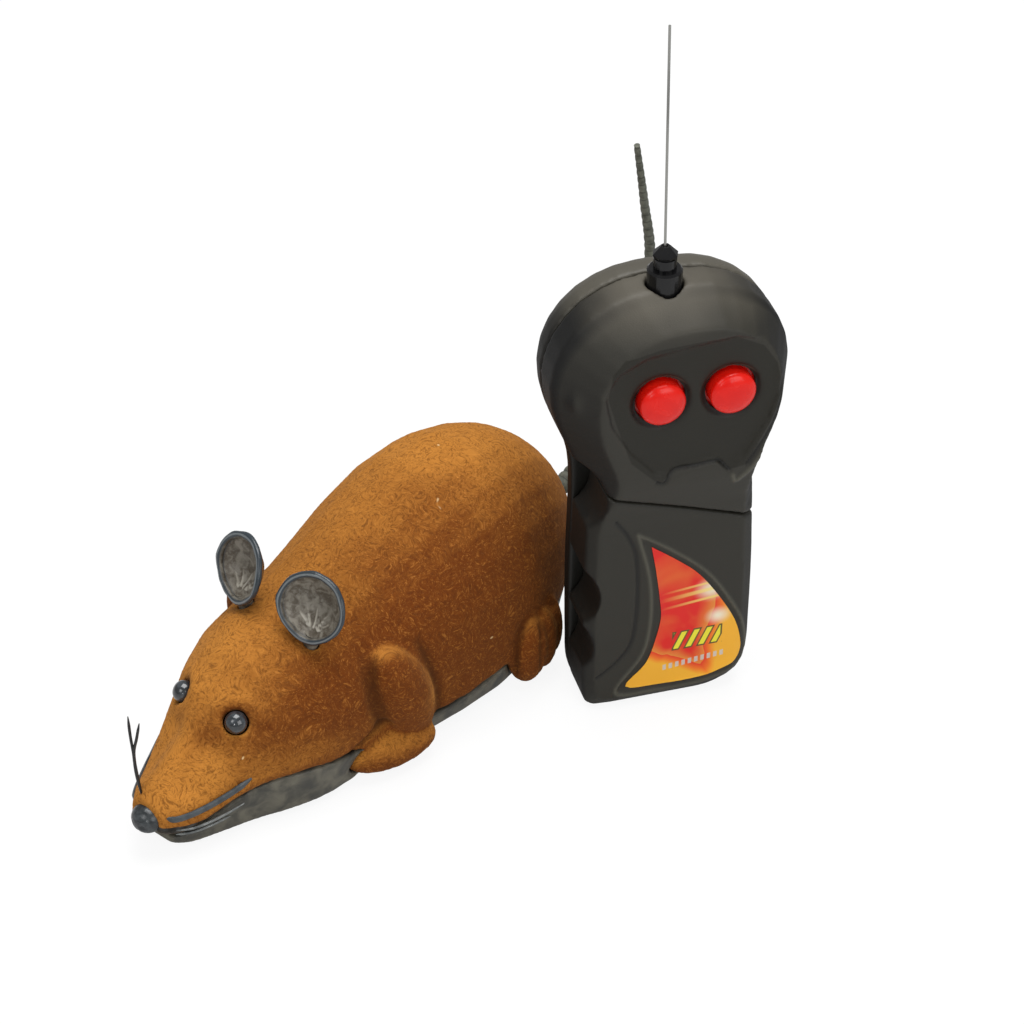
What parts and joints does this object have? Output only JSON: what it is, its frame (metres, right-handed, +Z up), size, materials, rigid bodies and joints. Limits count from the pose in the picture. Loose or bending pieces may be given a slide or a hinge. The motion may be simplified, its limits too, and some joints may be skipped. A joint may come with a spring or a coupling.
{
  "type": "radio-controlled toy mouse set",
  "caption": "Radio-controlled flocked toy mouse on a wheeled, geared chassis with caster and ringed tail, beside its upright two-button handset with an antenna.",
  "frame": {"origin": "centre of the set's footprint box, on the floor that the wheels and the handset's bottom end stand on", "axes": "+X toward the mouse's left side, where the handset stands, +Y from the mouse's nose toward its tail, +Z up"},
  "size_m": [0.098, 0.1738, 0.1679],
  "materials": {
    "flocked_brown": "short brown flock over a moulded shell",
    "dark_grey_plastic": "satin moulded",
    "gloss_grey_plastic": "polished",
    "gloss_black": "polished",
    "black_nylon": "drawn filament",
    "grey_vinyl": "satin soft vinyl",
    "grey_green_rubber": "matt, ringed",
    "black_plastic": "satin moulded",
    "black_rubber": "matt",
    "steel": "bright",
    "white_nylon": "moulded",
    "brass": "turned",
    "grey_nylon": "moulded",
    "zinc_steel": "zinc plated",
    "cell_label": "printed film over a can",
    "nickel": "nickel plated",
    "green_board": "solder mask",
    "charcoal_plastic": "fine spark texture",
    "gloss_red": "polished, clear",
    "grey_rubber": "matt",
    "socket_black": "satin gloss"
  },
  "bodies": {
    "toy_set": {"body_shell": "flocked_brown", "chassis": "dark_grey_plastic", "nose": "gloss_grey_plastic", "eye_left": "gloss_black", "eye_right": "gloss_black", "whisker_tuft": "black_nylon", "ear_left": "grey_vinyl", "ear_right": "grey_vinyl", "tail": "grey_green_rubber", "idler_pin": "steel", "gearbox_housing": "grey_nylon", "gearbox_cover": "grey_nylon", "drive_motor": "zinc_steel", "battery_door": "dark_grey_plastic", "battery_door_screw": "steel", "cell_left": "cell_label", "cell_right": "cell_label", "contact_minus": "nickel", "contact_plus": "nickel", "contact_bridge": "nickel", "receiver_board": "green_board", "switch_body": "nickel", "case_screw_front": "steel", "case_screw_left": "steel", "case_screw_right": "steel", "remote_front_shell": "charcoal_plastic", "remote_lower_cover": "charcoal_plastic", "remote_back_shell": "black_plastic", "remote_battery_door": "black_plastic", "remote_screw_left": "steel", "remote_screw_right": "steel", "transmitter_board": "green_board", "button_pad": "grey_rubber", "antenna_socket": "socket_black", "antenna_rod": "steel", "remote_cell_left": "cell_label", "remote_cell_right": "cell_label", "remote_contact_bridge": "nickel", "remote_contact_plus": "nickel", "remote_contact_minus": "nickel"},
    "drive_wheels": {"drive_axle": "steel", "axle_gear": "white_nylon", "wheel_left": "black_plastic", "wheel_right": "black_plastic", "tyre_left": "black_rubber", "tyre_right": "black_rubber"},
    "idler": {"idler_gear": "white_nylon"},
    "pinion": {"motor_pinion": "brass"},
    "caster_fork": {"caster_yoke": "dark_grey_plastic", "caster_pin": "steel"},
    "caster_roller": {"caster_wheel": "black_plastic"},
    "power_knob": {"switch_knob": "black_plastic"},
    "left_button": {"button_left": "gloss_red"},
    "right_button": {"button_right": "gloss_red"}
  },
  "joints": [
    {"name": "wheel_spin", "type": "hinge", "parent": "toy_set", "child": "drive_wheels", "pos_m": [-0.01899, 0.01096, 0.01], "axis": [1, 0, 0], "continuous": true},
    {"name": "idler_spin", "type": "hinge", "parent": "toy_set", "child": "idler", "pos_m": [-0.01899, 0.00504, 0.01603], "axis": [1, 0, 0], "continuous": true},
    {"name": "pinion_spin", "type": "hinge", "parent": "toy_set", "child": "pinion", "pos_m": [-0.01899, -0.00033, 0.02148], "axis": [1, 0, 0], "continuous": true},
    {"name": "caster_swivel", "type": "hinge", "parent": "toy_set", "child": "caster_fork", "pos_m": [-0.01899, -0.06804, 0.004], "axis": [0, 0, 1], "range_deg": [0, 35]},
    {"name": "caster_roll", "type": "hinge", "parent": "caster_fork", "child": "caster_roller", "pos_m": [-0.01899, -0.06544, 0.0036], "axis": [1, 0, 0], "continuous": true},
    {"name": "switch_slide", "type": "slide", "parent": "toy_set", "child": "power_knob", "axis": [0, 1, 0], "range_m": [0, 0.002]},
    {"name": "left_button_press", "type": "slide", "parent": "toy_set", "child": "left_button", "axis": [-0.8329, 0.5534, 0], "range_m": [0, 0.0012], "stiffness_N_per_m": 800},
    {"name": "right_button_press", "type": "slide", "parent": "toy_set", "child": "right_button", "axis": [-0.8329, 0.5534, 0], "range_m": [0, 0.0012], "stiffness_N_per_m": 800}
  ],
  "couplings": [
    {"joint": "idler_spin", "follows": "wheel_spin", "ratio": -3.2},
    {"joint": "pinion_spin", "follows": "wheel_spin", "ratio": 12}
  ]
}
